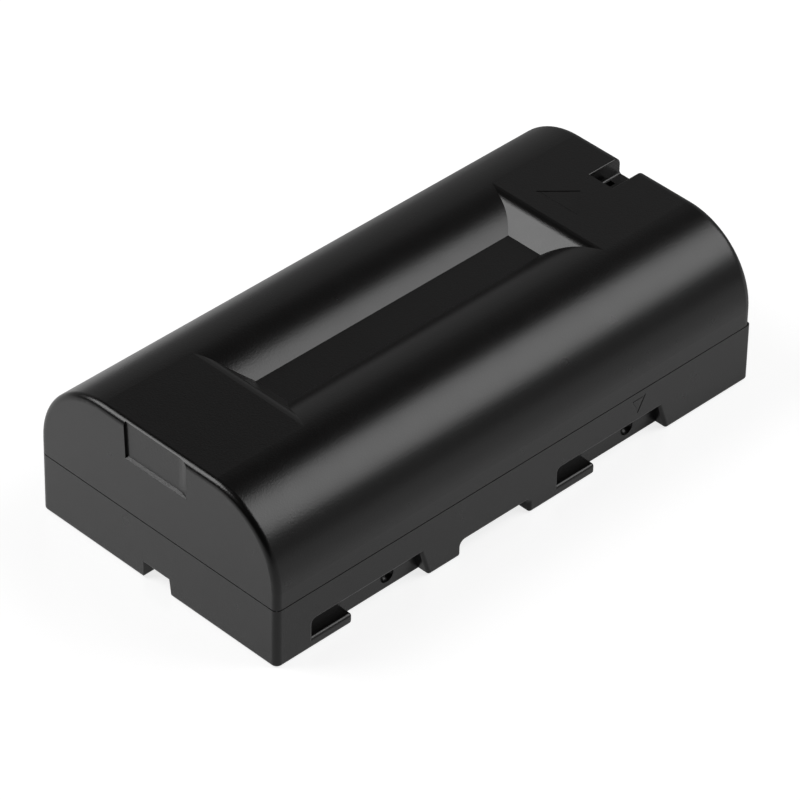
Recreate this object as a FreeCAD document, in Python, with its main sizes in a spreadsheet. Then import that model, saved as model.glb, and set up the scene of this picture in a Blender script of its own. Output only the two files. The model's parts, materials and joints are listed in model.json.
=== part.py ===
"""Two-cell rechargeable pack in a two-part moulded case, with hook slots along both sides.

Millimetres. The pack lies on its flat base: +X runs along its length to the terminal end, +Z is up,
and the origin is the middle of the base.
"""
import FreeCAD
import Part
import Sketcher
import os
import re

# Driving sizes: name, value in millimetres, what it is
SIZES = [
    # cells
    ("cell_radius", 9.1, "cell over its sleeve"),
    ("cell_length", 65.2, "cell over its raised cap"),
    ("cell_gap", 0.2, "between the two cells"),
    ("cell_clearance", 0.1, "between a cell and its cradle"),
    ("sleeve_thickness", 0.1, "shrink sleeve"),
    ("cap_radius", 3.4, "raised positive cap"),
    ("cap_height", 0.8, "raised positive cap"),
    ("ring_thickness", 0.25, "insulating ring round the cap"),
    ("ring_hole_radius", 4.2, "insulating ring, inside"),
    ("ring_inset", 0.4, "insulating ring inside the sleeve's edge"),
    # case walls
    ("side_wall", 0.85, "thinnest place beside a cell"),
    ("floor_wall", 1.2, "thinnest place under a cell"),
    ("roof_wall", 0.95, "thinnest place over a cell"),
    ("end_wall", 1.4, "both end walls"),
    ("recess_wall", 1.0, "under the top recess"),
    ("valley_floor", 4.25, "floor between the cells"),
    ("valley_half_width", 6.0, "open space between the cells"),
    ("board_space", 5.8, "room for the board behind the terminal end"),
    # outside form
    ("seam_height", 8.0, "joint between the two case parts"),
    ("seam_groove_height", 0.12, "dark line round the joint"),
    ("seam_groove_depth", 0.2, "dark line round the joint"),
    ("shoulder_radius", 10.2, "long rounds along the top"),
    ("near_edge_round", 0.8, "edges of the upper case's near end and near corners of the lower case"),
    ("far_edge_round", 1.05, "edges of the upper case's terminal end"),
    ("far_corner_round", 0.5, "far corners of the lower case"),
    ("base_edge_round", 0.4, "other edges of the lower case and its hook slots"),
    # top recess
    ("recess_length", 45.8, "top recess at the top face"),
    ("recess_shift", -0.45, "middle of the recess along the pack"),
    ("recess_depth", 2.3, "top recess"),
    ("recess_ramp", 3.0, "run of the sloping end walls"),
    ("recess_edge_round", 2.0, "upper edges of the sloping end walls"),
    # arrow mark on the top
    ("arrow_start", 25.65, "arrow's base from the middle of the pack"),
    ("arrow_base", 7.0, "arrow, across"),
    ("arrow_height", 3.8, "arrow, along"),
    ("arrow_shift", 0.85, "arrow's middle beside the centre line"),
    ("mark_line", 0.25, "width of the arrow's lines"),
    ("mark_depth", 0.06, "depth of the arrow's lines"),
    # latch notch at the terminal end
    ("latch_length", 5.3, "latch notch from the terminal end"),
    ("latch_width", 3.6, "latch notch"),
    ("latch_depth", 2.3, "latch notch below the top"),
    ("latch_shift", 0.55, "latch notch beside the centre line"),
    ("latch_foot_round", 0.3, "foot of the latch notch's wall"),
    ("latch_edge_round", 0.2, "upper edge of the latch notch's wall"),
    ("latch_slot_start", 1.5, "narrow slot from the near end of the notch"),
    ("latch_slot_length", 1.8, "narrow slot in the notch floor"),
    ("latch_slot_width", 0.8, "narrow slot in the notch floor"),
    ("latch_slot_inset", 0.35, "narrow slot from the notch's wall"),
    ("latch_slot_depth", 0.5, "narrow slot in the notch floor"),
    # near end
    ("panel_width", 9.9, "sunken panel at its lower edge"),
    ("panel_draft", 0.25, "the panel's other side leans out by this towards the top"),
    ("panel_height", 5.1, "sunken panel from the top face"),
    ("panel_depth", 0.3, "sunken panel"),
    ("panel_slope", 0.3, "height of the panel's sloping foot"),
    ("panel_curve", 3.9, "radius of the panel's hollow side"),
    ("foot_width", 4.6, "notch at the foot of the near end"),
    ("foot_height", 2.06, "notch at the foot of the near end"),
    ("foot_depth", 2.7, "notch at the foot of the near end"),
    ("foot_slant", 0.3, "how far one side of that notch leans over it"),
    # hook slots along both sides
    ("slot_start", -32.3, "closed end of the first slot"),
    ("slot_pitch", 38.4, "from one slot to the next"),
    ("slot_window", 6.05, "length of the lip under the closed end"),
    ("slot_mouth", 11.85, "length of the open mouth at the base"),
    ("stop_slant", 1.3, "how far the stop at the mouth's end leans over the mouth"),
    ("slot_top", 3.85, "upper edge of the slots"),
    ("slot_depth", 1.6, "slots, in from the side"),
    ("lip_height", 1.4, "lip under the closed end"),
    ("pocket_round", 0.5, "upper corner of the closed end"),
    ("dimple_radius", 1.05, "ball that shapes the dimple"),
    ("dimple_offset", 0.25, "ball's middle out from the slot's back"),
    ("dimple_from_lip", 6.8, "dimple's middle from the lip's end"),
    ("dimple_height", 2.0, "dimple's middle over the base"),
    ("gap_start", -9.4, "raised stretch between the slots"),
    ("gap_length", 10.9, "raised stretch between the slots"),
    ("gap_height", 1.95, "raised stretch between the slots"),
    ("gap_depth", 1.8, "raised stretch between the slots"),
    ("gap_round", 0.7, "corners of the raised stretch"),
    # small arrow on the side
    ("side_arrow_middle", 18.95, "small arrow from the middle of the pack"),
    ("side_arrow_base", 2.5, "small arrow, across"),
    ("side_arrow_height", 2.2, "small arrow"),
    ("side_arrow_tip", 5.0, "small arrow's tip over the base"),
    ("side_mark_line", 0.25, "width of the small arrow's lines"),
    ("side_mark_depth", 0.05, "depth of the small arrow's lines"),
    # connections
    ("link_thickness", 0.2, "series link"),
    ("strip_thickness", 0.2, "end strips"),
    ("strip_width", 7.0, "end strips and series link"),
    ("tab_width", 4.0, "tabs from the strips to the board"),
    ("tab_clearance", 0.2, "round a tab in the insulator"),
    ("insulator_thickness", 0.3, "end insulators"),
    ("insulator_inset", 0.3, "insulators inside the cells' outline"),
    ("insulator_bridge", 4.0, "neck between the insulators' two discs"),
    ("foam_thickness", 0.8, "foam pad at the near end"),
    ("foam_width", 24.0, "foam pad"),
    ("foam_height", 10.0, "foam pad"),
    ("wire_radius", 0.5, "wire from the link to the board"),
    ("wire_drop", 2.95, "wire below the cells' axes"),
    # board
    ("board_thickness", 1.0, "circuit board"),
    ("board_width", 28.0, "circuit board"),
    ("board_height", 12.6, "circuit board"),
    ("board_foot", 3.25, "lower edge of the board over the base"),
    ("board_standoff", 1.0, "board from the insulator"),
    ("board_clearance", 0.05, "round the board in its ribs"),
    ("rib_thickness", 0.6, "ribs that hold the board"),
    ("rib_width", 4.5, "ribs that hold the board"),
    ("rib_height", 5.25, "top of the ribs over the base"),
    ("rib_outset", 0.5, "ribs past the board's edge"),
    # terminals
    ("contact_pitch", 8.0, "between terminals"),
    ("contact_height", 4.0, "terminal clips"),
    ("contact_sheet", 0.3, "terminal clips' sheet"),
    ("contact_opening", 0.8, "terminal clips, between the leaves"),
    ("contact_clearance", 0.1, "clips from the end wall"),
    ("terminal_margin", 0.3, "openings round the clips, above and below"),
    # parts on the board
    ("chip_length", 4.0, "protection chip"),
    ("chip_width", 3.0, "protection chip"),
    ("chip_height", 0.9, "protection chip"),
    ("transistor_length", 5.0, "switch transistor"),
    ("transistor_width", 4.0, "switch transistor"),
    ("transistor_height", 1.1, "switch transistor"),
    ("fuse_length", 4.5, "resettable fuse"),
    ("fuse_width", 3.2, "resettable fuse"),
    ("fuse_height", 0.8, "resettable fuse"),
    ("small_part_length", 1.6, "resistors and capacitors"),
    ("small_part_width", 0.8, "resistors and capacitors"),
    ("resistor_height", 0.5, "resistors"),
    ("capacitor_height", 0.8, "capacitors"),
    ("small_part_pitch", 1.4, "between resistors or capacitors"),
    ("chip_row", 7.4, "middle of the chips over the board's foot"),
    ("chip_place", 4.6, "chips beside the centre line"),
    ("edge_place", 10.9, "fuse and resistors beside the centre line"),
    ("thermistor_radius", 0.9, "temperature bead"),
    ("thermistor_length", 5.6, "temperature bead"),
    ("thermistor_rise", 4.25, "temperature bead over the cells' axes"),
    # tools
    ("overcut", 1.0, "how far a cut reaches past the surface it opens"),
]

# Places worked out from the driving sizes
BORE = "(cell_radius + cell_clearance)"
AXIS_Y = "(cell_radius + cell_gap / 2)"
AXIS_Z = f"(floor_wall + {BORE})"
HALF_WIDTH = f"({AXIS_Y} + {BORE} + side_wall)"
TOP = f"({AXIS_Z} + {BORE} + roof_wall)"
STACK = "(foam_thickness + 2 * insulator_thickness + link_thickness + cell_length + strip_thickness)"
LENGTH = f"(2 * end_wall + {STACK} + board_space)"
NEAR = f"(-{LENGTH} / 2)"
FAR = f"({LENGTH} / 2)"
FOAM_X = f"({NEAR} + end_wall)"
FRONT_INSULATOR_X = f"({FOAM_X} + foam_thickness)"
LINK_X = f"({FRONT_INSULATOR_X} + insulator_thickness)"
CELL_X = f"({LINK_X} + link_thickness)"
STRIP_X = f"({CELL_X} + cell_length)"
REAR_INSULATOR_X = f"({STRIP_X} + strip_thickness)"
BOARD_X = f"({REAR_INSULATOR_X} + insulator_thickness + board_standoff)"
BOARD_FACE = f"({BOARD_X} + board_thickness)"
END_WALL_X = f"({FAR} - end_wall)"
SHOULDER_Y = f"({HALF_WIDTH} - shoulder_radius)"
SHOULDER_Z = f"({TOP} - shoulder_radius)"
RECESS_FLOOR = f"({TOP} - recess_depth)"
STRIP_TOP = f"({AXIS_Z} + strip_width / 2)"
CHIP_Z = "(board_foot + chip_row)"

X_AXIS = FreeCAD.Vector(1, 0, 0)
Y_AXIS = FreeCAD.Vector(0, 1, 0)
DIAGONAL = FreeCAD.Vector(1, 1, 1)
UPRIGHT = FreeCAD.Rotation()
ALONG_X = FreeCAD.Rotation(Y_AXIS, 90)
FACING_SIDE = FreeCAD.Rotation(X_AXIS, 90)
FACING_END = FreeCAD.Rotation(DIAGONAL, 120)
BOTH_SIDES = (("left", ""), ("right", "-"))
CLOSE = 0.001  # millimetres within which two places are the same

doc = FreeCAD.newDocument("battery_pack")
sheet = doc.addObject("Spreadsheet::Sheet", "dims")
for row, (alias, value, meaning) in enumerate(SIZES, start=1):
    sheet.set(f"A{row}", meaning)
    sheet.set(f"B{row}", str(value))
    sheet.setAlias(f"B{row}", alias)
doc.recompute()

ALIASES = {alias for alias, value, meaning in SIZES}


def cells(text):
    """An expression in which every size is read from the sheet."""
    return re.sub(r"[a-z_]+", lambda word: "dims." + word[0] if word[0] in ALIASES else word[0], text)


def size(alias):
    """A size's present value."""
    return float(sheet.get(alias))


def bind(item, rotation, place, **sizes):
    """Set an object's turn, and tie its place and its sizes to the sheet."""
    item.Placement = FreeCAD.Placement(FreeCAD.Vector(), rotation)
    for axis, text in zip("xyz", place):
        item.setExpression(f"Placement.Base.{axis}", cells(text))
    for name, text in sizes.items():
        item.setExpression(name, cells(text))
    return item


def box(name, place, length, width, height):
    """A block from its lowest corner."""
    item = doc.addObject("Part::Box", name)
    return bind(item, UPRIGHT, place, Length=length, Width=width, Height=height)


def rod(name, place, radius, length, rotation=ALONG_X):
    """A round bar, along X unless it is turned."""
    item = doc.addObject("Part::Cylinder", name)
    return bind(item, rotation, place, Radius=radius, Height=length)


def ball(name, place, radius):
    """A ball about its middle."""
    item = doc.addObject("Part::Sphere", name)
    return bind(item, UPRIGHT, place, Radius=radius)


def wedge(name, place, rotation, foot, top, height, depths):
    """A block that slopes: its two sides and its depth change from its foot to its top."""
    item = doc.addObject("Part::Wedge", name)
    return bind(item, rotation, place, Xmin=foot[0], Xmax=foot[1], X2min=top[0], X2max=top[1],
                Ymin="0", Ymax=height, Zmin="0", Z2min="0", Zmax=depths[0], Z2max=depths[1])


def both_ways(half):
    """The two sides of something that reaches as far one way as the other."""
    return f"-{half}", half


def fuse(name, *shapes):
    """Several solids made one."""
    item = doc.addObject("Part::MultiFuse", name)
    item.Shapes = list(shapes)
    item.Refine = True
    return item


def common(name, first, second):
    """What two solids share."""
    item = doc.addObject("Part::Common", name)
    item.Base = first
    item.Tool = second
    item.Refine = True
    return item


def cut(name, base, *tools):
    """A solid less others."""
    item = doc.addObject("Part::Cut", name)
    item.Base = base
    item.Tool = tools[0] if len(tools) == 1 else fuse(f"{name}_tools", *tools)
    item.Refine = True
    return item


def group(name, shapes):
    """Like pieces that share a node."""
    item = doc.addObject("Part::Compound", name)
    item.Links = shapes
    return item


def rounded(name, base, wanted):
    """A solid with some edges rounded: wanted gives an edge's radius, or nothing."""
    doc.recompute()
    item = doc.addObject("Part::Fillet", name)
    item.Base = base
    radii = [(number, wanted(edge)) for number, edge in enumerate(base.Shape.Edges, start=1)]
    item.Edges = [(number, radius, radius) for number, radius in radii if radius]
    return item


def triangle_line(name, place, rotation, base, height, line, depth):
    """A raised outline of a triangle, to be cut away as an engraved line.

    The triangle's base lies across the sketch's Y axis and its tip points along X.
    """
    inner_radius = f"({base} * {height} / ({base} + 2 * sqrt({height}^2 + {base}^2 / 4)))"
    share = f"(1 - {line} / {inner_radius})"
    outline = [("0", f"{base} / 2"), ("0", f"-{base} / 2"), (height, "0")]
    inside = [(line, f"{share} * {base} / 2"), (line, f"-{share} * {base} / 2"),
              (f"{inner_radius} + {share} * ({height} - {inner_radius})", "0")]
    sketch = doc.addObject("Sketcher::SketchObject", f"{name}_sketch")
    corners = len(outline)
    for points, start in ((outline, 0), (inside, corners)):
        for corner in range(corners):
            here = FreeCAD.Vector(corner + start, corner * corner, 0)
            there = FreeCAD.Vector(corner + start + 1, corner * corner + 1, 0)
            sketch.addGeometry(Part.LineSegment(here, there))
        for corner, (along, across) in enumerate(points):
            line_number = start + corner
            next_line = start + (corner + 1) % corners
            sketch.addConstraint(Sketcher.Constraint("Coincident", line_number, 2, next_line, 1))
            for kind, text in (("DistanceX", along), ("DistanceY", across)):
                number = sketch.addConstraint(Sketcher.Constraint(kind, -1, 1, line_number, 1, 1.0))
                sketch.setExpression(f"Constraints[{number}]", cells(text))
    bind(sketch, rotation, place)
    item = doc.addObject("Part::Extrusion", name)
    item.Base = sketch
    item.DirMode = "Normal"
    item.FaceMakerClass = "Part::FaceMakerBullseye"
    item.Solid = True
    item.setExpression("LengthFwd", cells(depth))
    return item


# Case outline

def long_rounds(label):
    """The two round bars along the top, one over each cell."""
    return [rod(f"{side}_{label}", (NEAR, f"{sign}{SHOULDER_Y}", SHOULDER_Z), "shoulder_radius", LENGTH)
            for side, sign in BOTH_SIDES]


def envelope():
    """The whole case as one solid: flat base and top, long round shoulders, rounded ends."""
    lower = box("lower_block", (NEAR, f"-{HALF_WIDTH}", "0"), LENGTH, f"2 * {HALF_WIDTH}", SHOULDER_Z)
    middle = box("middle_block", (NEAR, f"-{SHOULDER_Y}", "0"), LENGTH, f"2 * {SHOULDER_Y}", TOP)
    limit = box("case_limit", (NEAR, f"-{HALF_WIDTH}", "0"), LENGTH, f"2 * {HALF_WIDTH}", TOP)
    blocks = fuse("case_blocks", lower, middle, *long_rounds("shoulder"))
    block = common("case_block", blocks, limit)
    doc.recompute()
    limits = block.Shape.BoundBox

    def radius(edge):
        bounds = edge.BoundBox
        in_base = bounds.ZMax < limits.ZMin + CLOSE
        if not in_base and bounds.XMax < limits.XMin + CLOSE:
            return size("near_edge_round")
        if not in_base and bounds.XMin > limits.XMax - CLOSE:
            return size("far_edge_round")
        return None

    return rounded("case_outline", block, radius)


def cavity():
    """The space inside: a cradle for each cell, the valley between them and room for the board."""
    inside = f"({LENGTH} - 2 * end_wall)"
    cradles = [rod(f"{side}_cradle", (FOAM_X, f"{sign}{AXIS_Y}", AXIS_Z), BORE, inside)
               for side, sign in BOTH_SIDES]
    roof = f"({RECESS_FLOOR} - recess_wall)"
    valley = box("valley", (FOAM_X, "-valley_half_width", "valley_floor"), inside, "2 * valley_half_width",
                 f"{roof} - valley_floor")
    board_room = box("board_room", (REAR_INSULATOR_X, "-valley_half_width", "board_foot"),
                     f"{END_WALL_X} - {REAR_INSULATOR_X}", "2 * valley_half_width",
                     f"{AXIS_Z} - board_foot")
    return fuse("inside_space", valley, board_room, *cradles)


# Upper case

def top_recess():
    """The shallow valley in the top, between the rounds over the cells, with sloping ends."""
    block = box("recess_block", (NEAR, f"-{SHOULDER_Y}", RECESS_FLOOR), LENGTH, f"2 * {SHOULDER_Y}",
                "recess_depth + overcut")
    valley = cut("recess_valley", block, *long_rounds("crown"))
    width = f"(2 * {HALF_WIDTH})"
    ends = wedge("recess_slopes", ("recess_shift", HALF_WIDTH, RECESS_FLOOR), FACING_SIDE,
                 both_ways("(recess_length / 2 - recess_ramp)"), both_ways("(recess_length / 2)"),
                 "recess_depth", (width, width))
    start = "recess_shift - recess_length / 2 - recess_edge_round"
    above = box("recess_above", (start, f"-{HALF_WIDTH}", TOP), "recess_length + 2 * recess_edge_round",
                width, "overcut")
    sharp = fuse("recess_sharp", ends, above)

    def upper_edge(edge):
        bounds = edge.BoundBox
        limits = sharp.Shape.BoundBox
        inside = limits.XMin + CLOSE < bounds.XMin and bounds.XMax < limits.XMax - CLOSE
        across = bounds.XLength < CLOSE and bounds.YLength > CLOSE
        raised = bounds.ZMin > limits.ZMin + CLOSE
        return size("recess_edge_round") if inside and across and raised else None

    return common("recess_tool", valley, rounded("recess_ends", sharp, upper_edge))


def latch_notch():
    """The notch for the catch at the terminal end, with a narrow slot in its floor."""
    floor = f"({TOP} - latch_depth)"
    start = f"({FAR} - latch_length)"
    notch = box("latch_block", (start, "latch_shift - latch_width / 2", floor), "latch_length + overcut",
                "latch_width", "latch_depth + overcut")

    def foot(edge):
        bounds = edge.BoundBox
        limits = notch.Shape.BoundBox
        low = bounds.ZMax < limits.ZMin + CLOSE
        return size("latch_foot_round") if low and bounds.YLength < CLOSE else None

    slot_y = "(latch_shift + latch_width / 2 - latch_slot_inset - latch_slot_width)"
    slot = box("latch_slot_tool", (f"{start} + latch_slot_start", slot_y, f"{floor} - latch_slot_depth"),
               "latch_slot_length", "latch_slot_width", "latch_slot_depth + overcut")
    return [rounded("latch_tool", notch, foot), slot]


def near_panel():
    """The sunken panel at the near end, open at the top, with a sloping foot and one side hollowed."""
    foot_z = f"({TOP} - panel_height)"
    outside = f"{NEAR} - overcut"
    reach = "(panel_depth + overcut)"
    height = "(panel_height + overcut)"

    def sides(rise):
        return "(-panel_width / 2)", f"(panel_width / 2 + panel_draft * {rise} / panel_height)"

    foot = wedge("panel_foot", (outside, "0", foot_z), FACING_END, sides("0"), sides("panel_slope"),
                 "panel_slope", ("overcut", reach))
    field = wedge("panel_field", (outside, "0", f"{foot_z} + panel_slope"), FACING_END,
                  sides("panel_slope"), sides(height), f"{height} - panel_slope", (reach, reach))
    bend = "(sqrt(2 * panel_curve * panel_depth - panel_depth^2) - panel_width / 2)"
    flat = box("panel_flat", (outside, bend, foot_z), reach, "panel_width", height)
    hollow_middle = (f"{NEAR} + panel_depth - panel_curve", bend, foot_z)
    hollow = rod("panel_hollow", hollow_middle, "panel_curve", height, UPRIGHT)
    return common("panel_tool", fuse("panel_sharp", foot, field), fuse("panel_profile", flat, hollow))


def latch_edge_radius(sharp):
    """Picks the upper edge of the latch notch's left wall."""
    doc.recompute()
    limits = sharp.Shape.optimalBoundingBox(False)
    notch_x = limits.XMax - size("latch_length")
    notch_y = size("latch_shift") + size("latch_width") / 2

    def radius(edge):
        bounds = edge.BoundBox
        on_top = bounds.ZMin > limits.ZMax - CLOSE and abs(bounds.XMin - notch_x) < CLOSE
        beside_notch = on_top and abs(bounds.YMin - notch_y) < CLOSE and bounds.YLength < CLOSE
        return size("latch_edge_round") if beside_notch else None

    return radius


def upper_case(outline, space):
    """The upper shell, open below, with the seam's groove along its lower edge."""
    corner = (f"{NEAR} - overcut", f"-{HALF_WIDTH} - overcut", "seam_height")
    length = f"{LENGTH} + 2 * overcut"
    width = f"2 * ({HALF_WIDTH} + overcut)"
    half = box("upper_half", corner, length, width, TOP)
    shell = cut("upper_shell", common("upper_solid", outline, half), space)
    groove_outside = box("groove_outside", corner, length, width, "seam_groove_height")
    inner_corner = (f"{NEAR} + seam_groove_depth", f"seam_groove_depth - {HALF_WIDTH}", "seam_height")
    groove_inside = box("groove_inside", inner_corner, f"{LENGTH} - 2 * seam_groove_depth",
                        f"2 * ({HALF_WIDTH} - seam_groove_depth)", "seam_groove_height")
    groove = cut("seam_groove", groove_outside, groove_inside)
    arrow = triangle_line("arrow_tool", ("arrow_start", "arrow_shift", f"{TOP} - mark_depth"), UPRIGHT,
                          "arrow_base", "arrow_height", "mark_line", "mark_depth + overcut")
    sharp = cut("upper_sharp", shell, groove, top_recess(), arrow, near_panel(), *latch_notch())
    return rounded("upper_case", sharp, latch_edge_radius(sharp))


# Lower case

def inward(sign, depth):
    """Lowest Y and reach of a cut that goes in from one long side."""
    lowest = f"({HALF_WIDTH} - {depth})" if sign > 0 else f"(-{HALF_WIDTH} - overcut)"
    return lowest, f"({depth} + overcut)"


def hook_slot(label, start, side, sign):
    """One hook slot: a pocket behind a lip, and an open mouth with a dimple and a leaning stop."""
    mouth_start = f"({start} + slot_window)"
    name = f"{label}_{side}"
    slot_y, slot_reach = inward(sign, "slot_depth")
    pocket = box(f"{name}_pocket", (start, slot_y, "lip_height"), "slot_window + overcut", slot_reach,
                 "slot_top - lip_height")

    def upper_corner(edge):
        bounds = edge.BoundBox
        limits = pocket.Shape.BoundBox
        closed_end = bounds.XMax < limits.XMin + CLOSE
        return size("pocket_round") if closed_end and bounds.ZMin > limits.ZMax - CLOSE else None

    mouth = wedge(f"{name}_mouth", (mouth_start, f"{slot_y} + {slot_reach}", "0"), FACING_SIDE,
                  ("0", "slot_mouth"), ("0", "(slot_mouth - stop_slant)"), "slot_top",
                  (slot_reach, slot_reach))
    dimple_y = f"{sign} * ({HALF_WIDTH} - slot_depth + dimple_offset)"
    dimple = ball(f"{name}_dimple", (f"{mouth_start} + dimple_from_lip", dimple_y, "dimple_height"),
                  "dimple_radius")
    return [rounded(f"{name}_pocket_rounded", pocket, upper_corner), mouth, dimple]


def side_cuts(side, sign):
    """Both hook slots of one side and the raised stretch between them."""
    tools = []
    for label, start in (("near_slot", "slot_start"), ("far_slot", "(slot_start + slot_pitch)")):
        tools += hook_slot(label, start, side, sign)
    gap_y, gap_reach = inward(sign, "gap_depth")
    gap = box(f"gap_{side}", ("gap_start", gap_y, "-overcut"), "gap_length", gap_reach,
              "gap_height + overcut")

    def corner(edge):
        bounds = edge.BoundBox
        upper = bounds.ZMin > gap.Shape.BoundBox.ZMax - CLOSE
        return size("gap_round") if upper and bounds.XLength < CLOSE else None

    tools.append(rounded(f"gap_{side}_rounded", gap, corner))
    return tools


def board_ribs():
    """Two pairs of ribs at the sides of the board, with a groove that its lower edge stands in."""
    ribs = []
    span = "(board_thickness + 2 * board_clearance + 2 * rib_thickness)"
    start = f"({BOARD_X} - board_clearance - rib_thickness)"
    outer = "(board_width / 2 + rib_outset)"
    for side, y_place in (("left", f"{outer} - rib_width"), ("right", f"-{outer}")):
        block = box(f"{side}_rib_block", (start, y_place, "0"), span, "rib_width", "rib_height")
        corner = (f"{BOARD_X} - board_clearance", f"{y_place} - overcut", "board_foot")
        groove = box(f"{side}_rib_groove", corner, "board_thickness + 2 * board_clearance",
                     "rib_width + 2 * overcut", "rib_height")
        ribs.append(cut(f"{side}_rib", block, groove))
    return ribs


def terminal_openings():
    """Slots in the end wall, one in front of each terminal clip."""
    width = "(contact_opening + 2 * contact_sheet)"
    openings = []
    for number, place in enumerate((-1, 0, 1), start=1):
        y_place = f"{place} * contact_pitch - {width} / 2"
        corner = (f"{END_WALL_X} - overcut", y_place, "board_foot - terminal_margin")
        openings.append(box(f"terminal_opening_{number}", corner, "end_wall + 2 * overcut", width,
                            "contact_height + 2 * terminal_margin"))
    return openings


def lower_edge_radius(sharp):
    """Picks the edges round the base and over the foot notch, and the outer edges of the hook slots."""
    doc.recompute()
    limits = sharp.Shape.BoundBox
    first_lip_end = size("slot_start") + size("slot_window")
    lip_ends = (first_lip_end, first_lip_end + size("slot_pitch"))

    def radius(edge):
        bounds = edge.BoundBox
        in_base = bounds.ZMax < limits.ZMin + CLOSE
        outermost = bounds.YMax < limits.YMin + CLOSE or bounds.YMin > limits.YMax - CLOSE
        from_ends = min(bounds.XMin - limits.XMin - size("near_edge_round"),
                        limits.XMax - bounds.XMax - size("far_corner_round"))
        rising = from_ends > CLOSE and bounds.ZLength > CLOSE and bounds.ZMin < limits.ZMin + CLOSE
        level = bounds.ZLength < CLOSE
        over_mouth = level and abs(bounds.ZMin - size("slot_top")) < CLOSE
        on_lip = level and abs(bounds.ZMin - size("lip_height")) < CLOSE
        across = bounds.XLength < CLOSE
        lip_end = on_lip and across and any(abs(bounds.XMin - place) < CLOSE for place in lip_ends)
        at_near_end = bounds.XMax < limits.XMin + CLOSE
        over_notch = level and at_near_end and abs(bounds.ZMin - size("foot_height")) < CLOSE
        wanted = in_base or over_notch or lip_end or outermost and (rising or over_mouth or on_lip)
        return size("base_edge_round") if wanted else None

    return radius


def lower_case(space):
    """The lower shell with its hook slots, foot notch, board ribs and terminal openings."""
    block = box("lower_plain", (NEAR, f"-{HALF_WIDTH}", "0"), LENGTH, f"2 * {HALF_WIDTH}", "seam_height")

    def corner(edge):
        bounds = edge.BoundBox
        alias = "near_edge_round" if bounds.XMax < block.Shape.BoundBox.Center.x else "far_corner_round"
        return size(alias) if bounds.ZLength > CLOSE else None

    solid = rounded("lower_solid", block, corner)
    shell = cut("lower_shell", solid, cut("lower_space", space, *board_ribs()))
    foot_reach = "(foot_depth + overcut)"
    foot = wedge("foot_tool", (f"{NEAR} - overcut", "0", "0"), FACING_END, both_ways("(foot_width / 2)"),
                 ("(foot_slant - foot_width / 2)", "(foot_width / 2)"), "foot_height",
                 (foot_reach, foot_reach))
    arrow_place = ("side_arrow_middle", f"side_mark_depth - {HALF_WIDTH}",
                   "side_arrow_tip + side_arrow_height")
    pointing_down = FACING_SIDE.multiply(FreeCAD.Rotation(FreeCAD.Vector(0, 0, 1), -90))
    arrow = triangle_line("side_arrow_tool", arrow_place, pointing_down, "side_arrow_base",
                          "side_arrow_height", "side_mark_line", "side_mark_depth + overcut")
    sides = side_cuts("right", -1) + side_cuts("left", 1)
    sharp = cut("lower_sharp", shell, foot, arrow, *sides, *terminal_openings())
    return rounded("lower_case", sharp, lower_edge_radius(sharp))


# Cells

def cell(side, sign, forward):
    """One cell: its sealed can with a raised cap, the sleeve round it and the ring round the cap.

    A forward cell has its cap at the terminal end.
    """
    body_length = "(cell_length - cap_height)"
    body_x = CELL_X if forward else f"({CELL_X} + cap_height)"
    cap_x = f"({CELL_X} + {body_length})" if forward else CELL_X
    ring_x = cap_x if forward else f"({CELL_X} + cap_height - ring_thickness)"
    y_place = f"{sign}{AXIS_Y}"
    can_radius = "(cell_radius - sleeve_thickness)"
    can = rod(f"{side}_can", (body_x, y_place, AXIS_Z), can_radius, body_length)
    cap = rod(f"{side}_cap", (cap_x, y_place, AXIS_Z), "cap_radius", "cap_height")
    outside = rod(f"{side}_sleeve_outside", (body_x, y_place, AXIS_Z), "cell_radius", body_length)
    inside = rod(f"{side}_sleeve_inside", (body_x, y_place, AXIS_Z), can_radius, body_length)
    disc = rod(f"{side}_ring_disc", (ring_x, y_place, AXIS_Z), "cell_radius - ring_inset", "ring_thickness")
    hole = rod(f"{side}_ring_hole", (ring_x, y_place, AXIS_Z), "ring_hole_radius", "ring_thickness")
    return [fuse(f"cell_{side}_can", can, cap), cut(f"cell_{side}_sleeve", outside, inside),
            cut(f"cell_{side}_ring", disc, hole)]


# Connections

def end_strip(name, sign):
    """A flat strip on one cell's end with a tab that reaches the board."""
    y_place = f"{sign}{AXIS_Y}"
    plate = box(f"{name}_plate", (STRIP_X, f"{y_place} - strip_width / 2", f"{AXIS_Z} - strip_width / 2"),
                "strip_thickness", "strip_width", "strip_width")
    tab = box(f"{name}_tab", (STRIP_X, f"{y_place} - tab_width / 2", f"{STRIP_TOP} - strip_thickness"),
              f"{BOARD_X} - {STRIP_X}", "tab_width", "strip_thickness")
    return fuse(name, plate, tab)


def insulator(name, x_place, *cuts):
    """A sheet of two discs joined by a neck, over both cells' ends."""
    radius = "(cell_radius - insulator_inset)"
    discs = [rod(f"{name}_{side}_disc", (x_place, f"{sign}{AXIS_Y}", AXIS_Z), radius, "insulator_thickness")
             for side, sign in BOTH_SIDES]
    neck = box(f"{name}_neck", (x_place, f"-{AXIS_Y}", f"{AXIS_Z} - insulator_bridge / 2"),
               "insulator_thickness", f"2 * {AXIS_Y}", "insulator_bridge")
    if not cuts:
        return fuse(name, neck, *discs)
    return cut(name, fuse(f"{name}_sheet", neck, *discs), *cuts)


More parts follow.
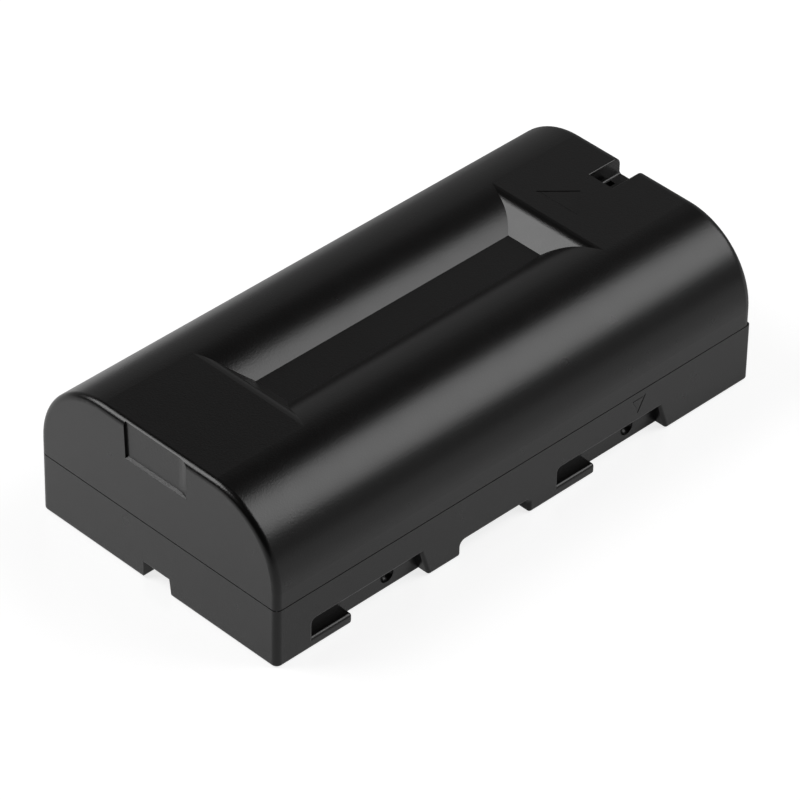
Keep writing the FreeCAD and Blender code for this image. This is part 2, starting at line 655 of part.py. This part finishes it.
def connections():
    """Link, strips, insulators, foam pad and the wire from the link to the board."""
    link = box("series_link", (LINK_X, f"-{AXIS_Y} - strip_width / 2", f"{AXIS_Z} - strip_width / 2"),
               "link_thickness", f"2 * {AXIS_Y} + strip_width", "strip_width")
    strips = [end_strip("positive_strip", ""), end_strip("negative_strip", "-")]
    openings = []
    for side, sign in BOTH_SIDES:
        y_place = f"{sign}{AXIS_Y} - tab_width / 2 - tab_clearance"
        z_place = f"{STRIP_TOP} - strip_thickness - tab_clearance"
        corner = (f"{REAR_INSULATOR_X} - overcut", y_place, z_place)
        openings.append(box(f"{side}_tab_opening", corner, "insulator_thickness + 2 * overcut",
                            "tab_width + 2 * tab_clearance", "strip_thickness + 2 * tab_clearance"))
    front = insulator("front_insulator", FRONT_INSULATOR_X)
    rear = insulator("rear_insulator", REAR_INSULATOR_X, *openings)
    foam = box("front_foam_pad", (FOAM_X, "-foam_width / 2", f"{AXIS_Z} - foam_height / 2"),
               "foam_thickness", "foam_width", "foam_height")
    wire = rod("midpoint_wire", (CELL_X, "0", f"{AXIS_Z} - wire_drop"), "wire_radius",
               f"{BOARD_X} - {CELL_X}")
    return [link, *strips, front, rear, foam, wire]


# Board

def on_board(name, y_middle, z_middle, width, height, thickness):
    """A flat part soldered on the board's outer face."""
    corner = (BOARD_FACE, f"{y_middle} - {width} / 2", f"{z_middle} - {height} / 2")
    return box(name, corner, thickness, width, height)


def contact(name, place):
    """A clip with two leaves that stands on the board and opens towards the end wall."""
    width = "(contact_opening + 2 * contact_sheet)"
    reach = f"({END_WALL_X} - contact_clearance - {BOARD_FACE})"
    y_place = f"({place} * contact_pitch)"
    block = box(f"{name}_block", (BOARD_FACE, f"{y_place} - {width} / 2", "board_foot"), reach, width,
                "contact_height")
    opening = box(f"{name}_opening", (f"{BOARD_FACE} + contact_sheet", f"{y_place} - contact_opening / 2",
                                      "board_foot - overcut"),
                  reach, "contact_opening", "contact_height + 2 * overcut")
    return cut(name, block, opening)


def board_parts():
    """The board, what is soldered on it and its three terminal clips."""
    board = box("circuit_board", (BOARD_X, "-board_width / 2", "board_foot"), "board_thickness",
                "board_width", "board_height")
    chip = on_board("protection_chip", "chip_place", CHIP_Z, "chip_length", "chip_width", "chip_height")
    transistor = on_board("transistor_chip", "-chip_place", CHIP_Z, "transistor_length", "transistor_width",
                          "transistor_height")
    fuse_block = on_board("resettable_fuse", "edge_place", CHIP_Z, "fuse_length", "fuse_width",
                          "fuse_height")
    resistors = [on_board(f"resistor_{number}", "-edge_place", f"({CHIP_Z} + {step} * small_part_pitch)",
                          "small_part_length", "small_part_width", "resistor_height")
                 for number, step in enumerate((-1.5, -0.5, 0.5, 1.5), start=1)]
    capacitors = [on_board(f"capacitor_{number}", "0", f"({CHIP_Z} + {step} * small_part_pitch)",
                           "small_part_length", "small_part_width", "capacitor_height")
                  for number, step in enumerate((-1, 0, 1), start=1)]
    bead = rod("thermistor", (f"{BOARD_X} - thermistor_length", "0", f"{AXIS_Z} + thermistor_rise"),
               "thermistor_radius", "thermistor_length")
    clips = [contact(name, place) for name, place in
             (("contact_negative", -1), ("contact_signal", 0), ("contact_positive", 1))]
    return [board, chip, transistor, fuse_block, group("board_resistors", resistors),
            group("board_capacitors", capacitors), bead, *clips]


def check(item):
    """Stop if an object failed or its shape can't be used."""
    if {"Invalid", "Error"} & set(item.State):
        raise RuntimeError(f"{item.Name} failed: {item.State}")
    if hasattr(item, "Shape") and (item.Shape.isNull() or not item.Shape.isValid()):
        raise RuntimeError(f"{item.Name} has no valid shape")


outline = envelope()
space = cavity()
nodes = [upper_case(outline, space), lower_case(space)]
nodes += cell("left", "", True)
nodes += cell("right", "-", False)
nodes += connections()
nodes += board_parts()
for node in nodes:
    node.Label = node.Name
doc.recompute()
for item in doc.Objects:
    check(item)
os.makedirs("parts", exist_ok=True)
for node in nodes:
    node.Shape.exportStep(f"parts/{node.Label}.step")
    print(node.Label, round(node.Shape.Volume, 2), len(node.Shape.Solids))
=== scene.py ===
"""Looks of a two-cell battery pack: procedural finishes, soft studio light and the photograph's view.

Metres, in the frame of the solids: +X runs along the pack to its terminal end, +Z is up, and the origin is
the middle of the base.
"""
import json
import math
from collections import namedtuple

import bpy
from mathutils import Matrix, Vector

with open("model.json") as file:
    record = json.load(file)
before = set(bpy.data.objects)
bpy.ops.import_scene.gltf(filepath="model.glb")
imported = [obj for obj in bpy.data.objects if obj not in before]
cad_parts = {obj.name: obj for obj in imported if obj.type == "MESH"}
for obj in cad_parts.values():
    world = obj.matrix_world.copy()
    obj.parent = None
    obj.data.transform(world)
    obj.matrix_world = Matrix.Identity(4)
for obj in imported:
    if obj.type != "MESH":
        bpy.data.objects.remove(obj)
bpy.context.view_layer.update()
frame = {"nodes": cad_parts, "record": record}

# Camera, as fitted to the edges of the case in the photograph; sensor and lens in millimetres
PIVOT = Vector((0.0, 0.0, 0.010525))
CAMERA_AZIMUTH = math.radians(-45.031)
CAMERA_ELEVATION = math.radians(38.144)
CAMERA_ROLL = math.radians(1.104)
CAMERA_DISTANCE = 0.62551
CAMERA_ASIDE = -0.000243
CAMERA_RISE = -0.003480
SENSOR_WIDTH = 36.0
FOCAL_LENGTH = 247.5
CAMERA_CLIP_START = 0.01

# Floor
FLOOR_REACH = 3.0
FLOOR_DROP = 0.00005
FLOOR_COLOUR = (0.35, 0.35, 0.35, 1.0)
FLOOR_ROUGHNESS = 0.3
FLOOR_SPECULAR = 0.6
FLOOR_GLOW = 0.8

# Painted light: the floor's glow in reflections changes with place, a painted falloff of light across the
# floor
# Glow of the floor in reflections: one level along the side that shows, and elsewhere a fade to the right
SIDE_AXIS = Vector((0.0, 1.0, 0.0))
SIDE_SPAN = (-0.022, -0.014)
SIDE_GLOW = 0.34
REST_AXIS = Vector((0.857, -0.515, 0.0))
REST_SPAN = (-0.05, 0.03)
REST_GLOW = (0.6, 0.0)

# Sky, as positions along its axis with the level there, and lamps, with their power in watts
SKY_AXIS = Vector((-0.5, 0.0, 0.87))
SKY_STOPS = ((0.0, 0.27), (0.24, 0.35), (0.31, 0.015), (1.0, 0.015))
Softbox = namedtuple("Softbox", "name direction distance width height power")
SOFTBOXES = (
    Softbox("right_softbox", Vector((0.5565, -0.44, 0.704)), 0.7, 0.45, 0.45, 2.45),
    Softbox("back_softbox", Vector((-0.454, 0.556, 0.697)), 0.7, 0.4, 0.4, 3.0),
)

# Finish of each material slot: darkest and lightest shade, roughness range, size of the slow patches,
# size of the grain along X, Y and Z, height of the grain, metallic and specular levels, and the pattern of
# the grain
Finish = namedtuple("Finish", "dark light rough patch grain height metallic specular pattern")
FINISHES = {
    "case_plastic": Finish((0.0021, 0.0018, 0.0018), (0.0027, 0.0024, 0.0024), (0.26, 0.31), 0.003,
                           (0.0002, 0.0002, 0.0002), 0.000012, 0.0, 0.43, "noise"),
    "cell_steel": Finish((0.56, 0.56, 0.54), (0.66, 0.66, 0.64), (0.26, 0.4), 0.004,
                         (0.004, 0.0002, 0.0002), 0.000006, 1.0, 0.5, "noise"),
    "cell_sleeve": Finish((0.085, 0.3, 0.28), (0.11, 0.34, 0.32), (0.24, 0.34), 0.006,
                          (0.003, 0.0015, 0.0015), 0.00003, 0.0, 0.5, "noise"),
    "insulating_paper": Finish((0.66, 0.63, 0.54), (0.76, 0.74, 0.66), (0.75, 0.9), 0.0012,
                               (0.0003, 0.0002, 0.0006), 0.00003, 0.0, 0.5, "noise"),
    "nickel_strip": Finish((0.6, 0.58, 0.54), (0.7, 0.68, 0.64), (0.28, 0.42), 0.003,
                           (0.0012, 0.0012, 0.0012), 0.00002, 1.0, 0.5, "cells"),
    "foam": Finish((0.04, 0.04, 0.04), (0.06, 0.06, 0.06), (0.88, 1.0), 0.002,
                   (0.0005, 0.0005, 0.0005), 0.0001, 0.0, 0.5, "cells"),
    "wire_jacket": Finish((0.46, 0.045, 0.035), (0.54, 0.055, 0.045), (0.38, 0.5), 0.004,
                          (0.002, 0.0004, 0.0004), 0.00001, 0.0, 0.5, "noise"),
    "board_laminate": Finish((0.025, 0.17, 0.075), (0.035, 0.22, 0.1), (0.28, 0.4), 0.0015,
                             (0.0009, 0.0009, 0.0009), 0.00002, 0.0, 0.5, "cells"),
    "chip_resin": Finish((0.026, 0.026, 0.026), (0.036, 0.036, 0.036), (0.5, 0.64), 0.001,
                         (0.0001, 0.0001, 0.0001), 0.000008, 0.0, 0.5, "noise"),
    "fuse_coat": Finish((0.66, 0.46, 0.1), (0.74, 0.54, 0.14), (0.4, 0.55), 0.0015,
                        (0.0004, 0.0004, 0.0004), 0.00001, 0.0, 0.5, "noise"),
    "capacitor_ceramic": Finish((0.46, 0.33, 0.2), (0.54, 0.39, 0.24), (0.45, 0.6), 0.0006,
                                (0.0001, 0.0001, 0.0001), 0.000006, 0.0, 0.5, "noise"),
    "contact_metal": Finish((0.74, 0.56, 0.27), (0.82, 0.64, 0.33), (0.2, 0.32), 0.002,
                            (0.0002, 0.0002, 0.002), 0.000004, 1.0, 0.5, "noise"),
}


def texture(tree, place, kind, sizes):
    """A noise or cell texture whose features have these sizes along X, Y and Z."""
    mapping = tree.nodes.new("ShaderNodeMapping")
    mapping.inputs["Scale"].default_value = [1 / size for size in sizes]
    tree.links.new(place.outputs["Object"], mapping.inputs["Vector"])
    node = tree.nodes.new("ShaderNodeTexVoronoi" if kind == "cells" else "ShaderNodeTexNoise")
    node.inputs["Scale"].default_value = 1.0
    tree.links.new(mapping.outputs["Vector"], node.inputs["Vector"])
    return node.outputs["Distance" if kind == "cells" else "Fac"]


def node_material(slot, finish):
    """A material whose shade and roughness drift in slow patches and whose grain is a fine bump."""
    material = bpy.data.materials.new(slot)
    material.use_nodes = True
    tree = material.node_tree
    shader = tree.nodes["Principled BSDF"]
    shader.inputs["Metallic"].default_value = finish.metallic
    shader.inputs["Specular IOR Level"].default_value = finish.specular
    place = tree.nodes.new("ShaderNodeTexCoord")
    patches = texture(tree, place, "noise", (finish.patch,) * 3)
    shade = tree.nodes.new("ShaderNodeValToRGB")
    shade.color_ramp.elements[0].color = (*finish.dark, 1.0)
    shade.color_ramp.elements[1].color = (*finish.light, 1.0)
    tree.links.new(patches, shade.inputs["Fac"])
    tree.links.new(shade.outputs["Color"], shader.inputs["Base Color"])
    gloss = tree.nodes.new("ShaderNodeMapRange")
    gloss.inputs["To Min"].default_value, gloss.inputs["To Max"].default_value = finish.rough
    tree.links.new(patches, gloss.inputs["Value"])
    tree.links.new(gloss.outputs["Result"], shader.inputs["Roughness"])
    bump = tree.nodes.new("ShaderNodeBump")
    bump.inputs["Distance"].default_value = finish.height
    tree.links.new(texture(tree, place, finish.pattern, finish.grain), bump.inputs["Height"])
    tree.links.new(bump.outputs["Normal"], shader.inputs["Normal"])
    return material


def dress_nodes():
    """Give every solid the finish of its material slot."""
    materials = {slot: node_material(slot, finish) for slot, finish in FINISHES.items()}
    for part in frame["record"]["subparts"]:
        slots = frame["nodes"][part["node"]].data.materials
        slots.clear()
        slots.append(materials[part["material_slot"]])


def distance_along(tree, coordinates, axis):
    """How far a place lies along an axis."""
    place = tree.nodes.new("ShaderNodeTexCoord")
    measure = tree.nodes.new("ShaderNodeVectorMath")
    measure.operation = "DOT_PRODUCT"
    measure.inputs[1].default_value = axis
    tree.links.new(place.outputs[coordinates], measure.inputs[0])
    return measure.outputs["Value"]


def fade(tree, axis, span):
    """A level that changes along an axis of the floor, from one end of a span to the other."""
    level = tree.nodes.new("ShaderNodeMapRange")
    level.inputs["From Min"].default_value, level.inputs["From Max"].default_value = span
    tree.links.new(distance_along(tree, "Object", axis), level.inputs["Value"])
    return level


def painted_mirrored_glow(tree):
    """How brightly the floor shows in the pack's own reflections: painted light that falls off across the
    floor.
    """
    rest = fade(tree, REST_AXIS, REST_SPAN)
    rest.inputs["To Min"].default_value, rest.inputs["To Max"].default_value = REST_GLOW
    whole = fade(tree, SIDE_AXIS, SIDE_SPAN)
    whole.inputs["To Min"].default_value = SIDE_GLOW
    tree.links.new(rest.outputs["Result"], whole.inputs["To Max"])
    return whole.outputs["Result"]


def build_floor():
    """A satin table top that shows white to the camera, dimmer in reflections, and keeps a faint shadow."""
    mesh = bpy.data.meshes.new("floor")
    ways = ((-1, -1), (1, -1), (1, 1), (-1, 1))
    corners = [(x * FLOOR_REACH, y * FLOOR_REACH, -FLOOR_DROP) for x, y in ways]
    mesh.from_pydata(corners, [], [(0, 1, 2, 3)])
    floor = bpy.data.objects.new("floor", mesh)
    bpy.context.scene.collection.objects.link(floor)
    material = bpy.data.materials.new("floor")
    material.use_nodes = True
    tree = material.node_tree
    tree.nodes.clear()
    plain = tree.nodes.new("ShaderNodeBsdfPrincipled")
    plain.inputs["Base Color"].default_value = FLOOR_COLOUR
    plain.inputs["Roughness"].default_value = FLOOR_ROUGHNESS
    plain.inputs["Specular IOR Level"].default_value = FLOOR_SPECULAR
    path = tree.nodes.new("ShaderNodeLightPath")
    result = plain.outputs["BSDF"]
    for kind in ("Glossy", "Transmission", "Camera"):
        glow = tree.nodes.new("ShaderNodeEmission")
        # Painted light: in reflections the floor glows brighter or dimmer by place on the floor
        if kind == "Glossy":
            tree.links.new(painted_mirrored_glow(tree), glow.inputs["Strength"])
        else:
            glow.inputs["Strength"].default_value = FLOOR_GLOW
        lit = tree.nodes.new("ShaderNodeAddShader")
        tree.links.new(plain.outputs["BSDF"], lit.inputs[0])
        tree.links.new(glow.outputs["Emission"], lit.inputs[1])
        choice = tree.nodes.new("ShaderNodeMixShader")
        tree.links.new(path.outputs[f"Is {kind} Ray"], choice.inputs["Fac"])
        tree.links.new(result, choice.inputs[1])
        tree.links.new(lit.outputs["Shader"], choice.inputs[2])
        result = choice.outputs["Shader"]
    output = tree.nodes.new("ShaderNodeOutputMaterial")
    tree.links.new(result, output.inputs["Surface"])
    mesh.materials.append(material)


def build_sky():
    """A room that is pale low down, and dark overhead and towards the near end."""
    world = bpy.data.worlds.new("studio")
    world.use_nodes = True
    bpy.context.scene.world = world
    tree = world.node_tree
    ramp = tree.nodes.new("ShaderNodeValToRGB")
    elements = ramp.color_ramp.elements
    for position, _ in SKY_STOPS[len(elements):]:
        elements.new(position)
    for element, (position, level) in zip(elements, SKY_STOPS):
        element.position = position
        element.color = (level, level, level, 1.0)
    tree.links.new(distance_along(tree, "Generated", SKY_AXIS), ramp.inputs["Fac"])
    tree.links.new(ramp.outputs["Color"], tree.nodes["Background"].inputs["Color"])


def build_softboxes():
    """Large soft lamps that face the pack."""
    for softbox in SOFTBOXES:
        lamp = bpy.data.lights.new(softbox.name, "AREA")
        lamp.shape = "RECTANGLE"
        lamp.size = softbox.width
        lamp.size_y = softbox.height
        lamp.energy = softbox.power
        holder = bpy.data.objects.new(softbox.name, lamp)
        direction = softbox.direction.normalized()
        holder.location = PIVOT + direction * softbox.distance
        holder.rotation_euler = direction.to_track_quat("Z", "Y").to_euler()
        bpy.context.scene.collection.objects.link(holder)


def build_camera():
    """The photograph's viewpoint."""
    camera = bpy.data.cameras.new("camera")
    camera.sensor_width = SENSOR_WIDTH
    camera.lens = FOCAL_LENGTH
    camera.clip_start = CAMERA_CLIP_START
    holder = bpy.data.objects.new("camera", camera)
    flat = math.cos(CAMERA_ELEVATION)
    back = Vector((math.sin(CAMERA_AZIMUTH) * flat, -math.cos(CAMERA_AZIMUTH) * flat,
                   math.sin(CAMERA_ELEVATION)))
    level = Vector((math.cos(CAMERA_AZIMUTH), math.sin(CAMERA_AZIMUTH), 0.0))
    rise = back.cross(level)
    right = level * math.cos(CAMERA_ROLL) + rise * math.sin(CAMERA_ROLL)
    up = rise * math.cos(CAMERA_ROLL) - level * math.sin(CAMERA_ROLL)
    turn = Matrix((right, up, back)).transposed().to_4x4()
    place = PIVOT + right * CAMERA_ASIDE + up * CAMERA_RISE + back * CAMERA_DISTANCE
    holder.matrix_world = Matrix.Translation(place) @ turn
    bpy.context.scene.collection.objects.link(holder)
    bpy.context.scene.camera = holder


dress_nodes()
build_floor()
build_sky()
build_softboxes()
build_camera()
bpy.context.scene.view_settings.view_transform = "Standard"
